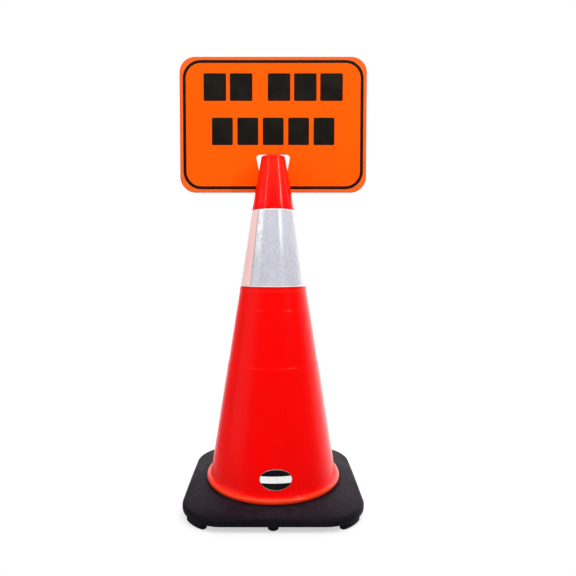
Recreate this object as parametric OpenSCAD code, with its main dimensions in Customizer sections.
// Traffic cone with a reflective collar and a rectangular cone-top sign.
// The origin is the centre of the base's footprint on the ground, +Z is up, and the
// sign faces -Y.

/* [Cone] */
// Height of the cone's mouth above the ground
cone_h = 713; // [708:1:722]
// Outer radius of the cone at its mouth
tip_r = 26; // [25.6:0.1:26.4]
// Growth of the neck's radius for each millimetre down
neck_taper = 0.179; // [0.17:0.001:0.182]
// Outer radius of the body just under the collar
shoulder_r = 69.7; // [69:0.1:70.5]
// Growth of the body's radius for each millimetre down
body_taper = 0.1585; // [0.155:0.0005:0.161]
// Wall thickness of the cone's skirt
wall_t = 3.2; // [2.6:0.1:3.6]
// Wall thickness behind the collar and above it
neck_wall_t = 2.6; // [2.2:0.1:3]
// Height of the mould step round the skirt
step_z = 281.6; // [270:1:290]
// How far the skirt stands out below the mould step
step_d = 0.6; // [0.4:0.1:1]
// Radius of the rounded lip on the flange
lip_r = 6; // [5.5:0.5:6.5]

/* [Base] */
// Side of the square base
base_w = 356; // [352:1:364]
// Radius of the base's corners in plan
base_corner_r = 85; // [70:1:90]
// Height of the base's top surface
base_top_z = 33; // [32:0.5:34]
// Height of the base's rim above the ground
base_rim_z = 12; // [10:0.5:13]

/* [Collar] */
// Height of the collar's lower edge
collar_z0 = 441.4; // [435:1:445]
// Height of the collar's upper edge
collar_z1 = 600.4; // [595:1:605]
// Radius of the recess at the collar's lower edge
recess_low_r = 67.4; // [67:0.1:67.6]
// Growth of the collar's radius for each millimetre down
collar_taper = 0.1547; // [0.153:0.0001:0.156]
// Thickness of the collar's white sleeve
sleeve_t = 1.2; // [0.8:0.1:1.4]
// Thickness of the prismatic film
film_t = 0.4; // [0.3:0.1:0.6]

/* [Sign] */
// Width of the sign
sign_w = 407; // [380:1:420]
// Height of the sign
sign_h = 292; // [285:1:296]
// Thickness of the sign's sheet
sign_t = 3.2; // [2.4:0.1:4]
// Radius of the sign's corners
sign_corner_r = 34; // [28:1:38]
// Height of the sign's lower edge
sign_z0 = 644.5; // [644:0.5:650]
// Distance from the cone's axis to the front of the sign's sheet
sign_y = 37.7; // [37.6:0.1:39]
// Inset of the black border from the sign's edge
border_inset = 7.2; // [6:0.1:9]
// Width of the black border line
border_w = 6.4; // [5:0.1:8]

/* [Hanger] */
// Thickness of the hanging tongue
tongue_t = 2.4; // [2:0.1:2.6]
// Width of the hanging tongue
tongue_w = 29; // [24:1:30]
// Height of the lower end of the tongue
tongue_z0 = 681; // [680:1:690]

/* [Hidden] */
$fn = 96;
eps = 0.01;

// Cone outline, as radius at a height
function neck_r(z) = tip_r + neck_taper * (mouth_z - z);
function recess_r(z) = recess_low_r + collar_taper * (collar_z0 - z);
function body_r(z) = shoulder_r + body_taper * (collar_z0 - z);
function skirt_r(z) = body_r(z) + step_d;
function recess_in_r(z) = recess_r(z) - neck_wall_t;
function skirt_in_r(z) = skirt_r(z) - wall_t;
// Points of an arc in the half plane of radius and height
function arc(r0, z0, r, from, to, n) =
    [for (i = [0:n]) let (a = from + (to - from) * i / n) [r0 + r * cos(a), z0 + r * sin(a)]];

// Rim insert and the mouth that it turns in
insert_cap_h = 7;
insert_gap = 0.3;
cap_z0 = cone_h - insert_cap_h;
mouth_z = cap_z0 - insert_gap;
land_z0 = mouth_z - 15.7;
land_r = 19;
spigot_clear = 0.05;
spigot_r = land_r - spigot_clear;
spigot_in_r = 16.6;
spigot_z0 = 678;
snap_r = 20;
snap_h = 4;
snap_gap = 0.4;
cap_round_r = 1.8;
neck_foot_h = 12;
slot_clear = 0.4;
rib_t = 2;
rib_z1 = 704;

// Flange, spigot and locking lip that hold the cone in the base
lip_c_r = 136;
lip_c_z = 38.3;
lip_end = 105;
flare_h = 9;
flare_d = 1;
wall_foot_z = 57;
base_hole_r = 127;
spigot_foot_r = 126.8;
lock_r = 132;
lock_hole_r = 132.4;
lock_z1 = 20;
lock_z0 = 14;
lock_in_r = 123.6;
lock_in_z = 39;
faint_line_z = 393;
faint_line_d = 0.35;

// Base edge, and the crown that is highest round the flange and along the sides
base_belly_z = 20;
base_round_h = 9;
base_round_w = 8;
base_disc_r = 150;
base_crown_w = 150;

// Feet under the base
corner_foot_r = 74;
corner_foot_w = 14;
corner_foot_span = 42;
side_foot_r = 10.5;
side_foot_y = 159;
foot_round = 3;

// Collar film and seam
film_margin = 2.4;
film_z0 = collar_z0 + film_margin;
film_z1 = collar_z1 - film_margin;
seam_angle = 213;
seam_span = 26;
seam_t = 0.3;

// Oval label
label_z = 77;
label_w = 63;
label_h = 38.6;
label_turn = 2.3;
label_t = 0.4;
label_ink_t = 0.15;
label_edge = 0.9;
label_band_h = 12.6;
label_points = 48;

// Sign face, in sheet coordinates: x across, y up from the lower edge
face_t = 0.4;
face_inset = 0.8;
ink_t = 0.2;
border_corner_r = 39;
cutout_top = 82.5;
cutout_bottom = 21;
cutout_top_w = 73;
cutout_bottom_w = 54;
cutout_corner_r = 7;
legend_h = 59;
legend_corner_r = 3;
row1_top = sign_h - 35.4;
row2_top = sign_h - 130.2;
row1_block_w = 49;
row1_gap = 8;
row1_word_gap = 33.5;
row2_block_w = 45.5;
row2_gap = 9.9;

// Fold line between the tongue and the sign's sheet
sign_mid_y = sign_y + sign_t / 2;
fold_gap = 0.3;
fold_r = 1.4;
fold_z = sign_z0 + cutout_top - fold_gap - fold_r - 0.1;
elbow_y = 5;
elbow_z = 714.6;

// Square with round corners, centred
module rounded_square(w, r) {
    offset(r = r) square(w - 2 * r, center = true);
}

// Rectangle with round corners, lower edge on y = 0
module sheet_outline(w, h, r) {
    translate([-w / 2 + r, 0]) square([w - 2 * r, h]);
    translate([-w / 2, r]) square([w, h - 2 * r]);
    for (x = [-w / 2 + r, w / 2 - r], y = [r, h - r]) translate([x, y]) circle(r);
}

// Stands a flat outline up behind the cone; depth is measured back from the sheet's front
module standing(depth, t) {
    translate([0, sign_y + depth + t, sign_z0]) rotate([90, 0, 0]) linear_extrude(t) children();
}

// Thin slice of the base at a height, drawn in from its widest outline
module base_slice(z, inset) {
    translate([0, 0, z]) linear_extrude(eps) rounded_square(base_w - 2 * inset, base_corner_r - inset);
}

module rubber_base() {
    color([0.16, 0.15, 0.17]) difference() {
        hull($fn = 48) {
            base_slice(base_rim_z, 5);
            base_slice(base_rim_z + 2, 1.6);
            base_slice(base_belly_z - 3, 0);
            for (a = [0:25:75])
                base_slice(base_belly_z + base_round_h * sin(a), base_round_w * (1 - cos(a)));
            for (q = [0:90:270]) rotate(q)
                translate([-base_crown_w / 2, base_disc_r, base_top_z - 1]) cube([base_crown_w, 16, 0.6]);
            translate([0, 0, base_top_z - eps]) cylinder(r = base_disc_r, h = eps, $fn = 96);
        }
        translate([0, 0, -eps]) cylinder(r = base_hole_r, h = base_top_z + 1);
        translate([0, 0, -eps]) cylinder(r = lock_hole_r, h = lock_z1 + eps);
    }
}

// Section of a foot with a rounded lower edge, centred on r
module foot_section(r, w) {
    translate([r - w / 2, foot_round]) square([w, base_rim_z - foot_round]);
    translate([r - w / 2 + foot_round, 0]) square([w - 2 * foot_round, foot_round + eps]);
    for (x = [r - w / 2 + foot_round, r + w / 2 - foot_round]) translate([x, foot_round]) circle(foot_round);
}

module corner_feet() {
    corner = base_w / 2 - base_corner_r;
    color([0.12, 0.12, 0.14]) for (q = [0:90:270]) rotate(q) translate([corner, corner, 0])
        rotate(45 - corner_foot_span / 2)
            rotate_extrude(angle = corner_foot_span) foot_section(corner_foot_r, corner_foot_w);
}

module side_feet() {
    color([0.12, 0.12, 0.14]) for (q = [0:90:270]) rotate(q) translate([0, side_foot_y, 0])
        rotate_extrude() intersection() {
            foot_section(0, 2 * side_foot_r);
            square([2 * side_foot_r, base_rim_z]);
        }
}

module cone_shell() {
    foot = concat(
        [[lock_in_r, lock_z0], [lock_r - 1.5, lock_z0], [lock_r, lock_z0 + 2], [lock_r, lock_z1]],
        [[spigot_foot_r, lock_z1], [spigot_foot_r, base_top_z]],
        arc(lip_c_r, lip_c_z, lip_r, asin((base_top_z - lip_c_z) / lip_r), lip_end, 14)
    );
    flare = [
        for (i = [0:4]) let (t = i / 4, z = lip_c_z + lip_r + t * flare_h)
            [skirt_r(z) + flare_d * pow(1 - t, 2), z]
    ];
    skirt_low = [[skirt_r(step_z), step_z], [body_r(step_z + 0.8), step_z + 0.8]];
    skirt_high = [
        [body_r(faint_line_z), faint_line_z],
        [body_r(faint_line_z + 1) - faint_line_d, faint_line_z + 1],
        [body_r(collar_z0 - 14), collar_z0 - 14]
    ];
    shoulder = arc(body_r(collar_z0) - 1.7, collar_z0 - 2.2, 2.2, 0, 90, 5);
    recess = [[recess_r(collar_z0), collar_z0], [recess_r(collar_z1), collar_z1]];
    neck = [
        [neck_r(collar_z1) - 0.8, collar_z1],
        [neck_r(collar_z1), collar_z1 + 0.8],
        [neck_r(mouth_z), mouth_z]
    ];
    inside = [
        [land_r, mouth_z],
        [land_r, land_z0],
        [neck_r(land_z0) - wall_t, land_z0],
        [neck_r(collar_z1 + neck_foot_h) - wall_t, collar_z1 + neck_foot_h],
        [recess_in_r(collar_z1), collar_z1],
        [recess_in_r(collar_z0 - 4), collar_z0 - 4],
        [skirt_in_r(collar_z0 - 12), collar_z0 - 12],
        [skirt_in_r(wall_foot_z), wall_foot_z],
        [lock_in_r, lock_in_z]
    ];
    color([0.93, 0.08, 0.03])
        rotate_extrude() polygon(concat(foot, flare, skirt_low, skirt_high, shoulder, recess, neck, inside));
}

// Conical band over the recess, between two heights and two offsets from it
module collar_band(z0, z1, off0, off1, angle = 360) {
    rotate_extrude(angle = angle) polygon([
        [recess_r(z0) + off0, z0],
        [recess_r(z0) + off1, z0],
        [recess_r(z1) + off1, z1],
        [recess_r(z1) + off0, z1]
    ]);
}

module collar_sleeve() {
    color([0.93, 0.93, 0.94]) collar_band(collar_z0, collar_z1, 0, sleeve_t);
}

module collar_film() {
    color([0.78, 0.79, 0.84]) collar_band(film_z0, film_z1, sleeve_t, sleeve_t + film_t);
}

module collar_seam() {
    under = sleeve_t + film_t;
    color([0.9, 0.82, 0.82]) rotate(seam_angle - seam_span / 2)
        collar_band(film_z0, film_z1, under, under + seam_t, seam_span);
}

module ellipse(w, h) {
    polygon([
        for (i = [0:label_points - 1]) let (a = i * 360 / label_points)
            [w / 2 * cos(a), h / 2 * sin(a)]
    ]);
}

// Keeps the part of a thin layer round the skirt that lies in front of a flat outline
module on_skirt(off, t) {
    z0 = label_z - label_h;
    z1 = label_z + label_h;
    intersection() {
        rotate_extrude() polygon([
            [skirt_r(z0) + off, z0],
            [skirt_r(z0) + off + t, z0],
            [skirt_r(z1) + off + t, z1],
            [skirt_r(z1) + off, z1]
        ]);
        translate([0, 0, label_z]) rotate([90, 0, 0]) linear_extrude(skirt_r(0)) children();
    }
}

module label_vinyl() {
    color([0.85, 0.85, 0.86]) rotate(label_turn) on_skirt(0, label_t) ellipse(label_w, label_h);
}

module label_ink() {
    color([0.06, 0.06, 0.07]) rotate(label_turn) on_skirt(label_t, label_ink_t) difference() {
        ellipse(label_w - 2 * label_edge, label_h - 2 * label_edge);
        square([label_w, label_band_h], center = true);
    }
}

module rim_insert() {
    cap_top_r = neck_r(cone_h - cap_round_r);
    cap = concat(
        [[spigot_in_r, cap_z0], [neck_r(cap_z0) - 0.5, cap_z0], [neck_r(cap_z0 + 0.6), cap_z0 + 0.6]],
        arc(cap_top_r - cap_round_r, cone_h - cap_round_r, cap_round_r, 0, 90, 8),
        arc(spigot_in_r + 1.5, cone_h - 1.5, 1.5, 90, 180, 4)
    );
    slot_half = tongue_t / 2 + slot_clear;
    snap_z1 = land_z0 - snap_gap;
    color([0.93, 0.08, 0.03]) {
        rotate_extrude() polygon(cap);
        difference() {
            cylinder_at(spigot_r, spigot_z0, cap_z0 + eps);
            cylinder_at(spigot_in_r, spigot_z0 - 1, cap_z0 + 1);
        }
        rotate_extrude() polygon([
            [spigot_r - 1, snap_z1 - snap_h],
            [spigot_r, snap_z1 - snap_h],
            [snap_r, snap_z1 - 1],
            [snap_r, snap_z1],
            [spigot_r - 1, snap_z1]
        ]);
        intersection() {
            cylinder_at(spigot_in_r + 0.5, spigot_z0, rib_z1);
            for (y = [elbow_y - slot_half - rib_t, elbow_y + slot_half])
                translate([-land_r, y, spigot_z0]) cube([2 * land_r, rib_t, rib_z1 - spigot_z0]);
        }
    }
}

module cylinder_at(r, z0, z1) {
    translate([0, 0, z0]) cylinder(r = r, h = z1 - z0);
}

// The tongue is folded out of the sheet at the top of the cut-out, over the rear of the
// rim and down into the insert
module hanging_tongue() {
    half = tongue_t / 2;
    run_y = sign_mid_y - elbow_y;
    run_z = fold_z - elbow_z;
    slope = atan2(run_z, run_y);
    color([0.95, 0.36, 0.02]) translate([tongue_w / 2, 0, 0]) rotate([0, -90, 0]) linear_extrude(tongue_w) {
        translate([fold_z, sign_mid_y]) circle(fold_r);
        translate([elbow_z, elbow_y]) circle(half);
        translate([elbow_z, elbow_y]) rotate(90 - slope)
            translate([0, -half]) square([norm([run_y, run_z]), tongue_t]);
        translate([tongue_z0, elbow_y - half]) square([elbow_z - tongue_z0, tongue_t]);
    }
}

module cutout(grow = 0) {
    r = cutout_corner_r;
    hull($fn = 32) {
        for (s = [-1, 1]) {
            translate([s * (cutout_top_w / 2 - r), cutout_top - r]) circle(r + grow);
            translate([s * (cutout_bottom_w / 2 - r), cutout_bottom + r]) circle(r + grow);
        }
    }
}

module sign_panel() {
    color([0.96, 0.35, 0.02]) standing(0, sign_t) difference() {
        sheet_outline(sign_w, sign_h, sign_corner_r);
        cutout();
    }
}

module sign_face_film() {
    color([1, 0.36, 0.01]) standing(-face_t, face_t) difference() {
        translate([0, face_inset])
            sheet_outline(sign_w - 2 * face_inset, sign_h - 2 * face_inset, sign_corner_r - face_inset);
        cutout(face_inset);
    }
}

module border_outline(inset) {
    translate([0, inset]) sheet_outline(
        sign_w - 2 * inset, sign_h - 2 * inset, border_corner_r - (inset - border_inset));
}

module ink() {
    color([0.1, 0.09, 0.07]) standing(-face_t - ink_t, ink_t) children();
}

module border_line() {
    ink() difference() {
        border_outline(border_inset);
        border_outline(border_inset + border_w);
    }
}

// A row of plain blocks; offsets holds each block's left edge
module legend_row(top, block_w, offsets) {
    ink() for (x = offsets) translate([x + block_w / 2, top - legend_h])
        sheet_outline(block_w, legend_h, legend_corner_r);
}

module legend_upper() {
    pitch = row1_block_w + row1_gap;
    length = 5 * row1_block_w + 3 * row1_gap + row1_word_gap;
    second = 2 * pitch - row1_gap + row1_word_gap;
    legend_row(row1_top, row1_block_w,
        [for (i = [0:4]) -length / 2 + (i < 2 ? i * pitch : second + (i - 2) * pitch)]);
}

module legend_lower() {
    pitch = row2_block_w + row2_gap;
    length = 5 * pitch - row2_gap;
    legend_row(row2_top, row2_block_w, [for (i = [0:4]) -length / 2 + i * pitch]);
}

rubber_base();
corner_feet();
side_feet();
cone_shell();
collar_sleeve();
collar_film();
collar_seam();
label_vinyl();
label_ink();
rim_insert();
hanging_tongue();
sign_panel();
sign_face_film();
border_line();
legend_upper();
legend_lower();
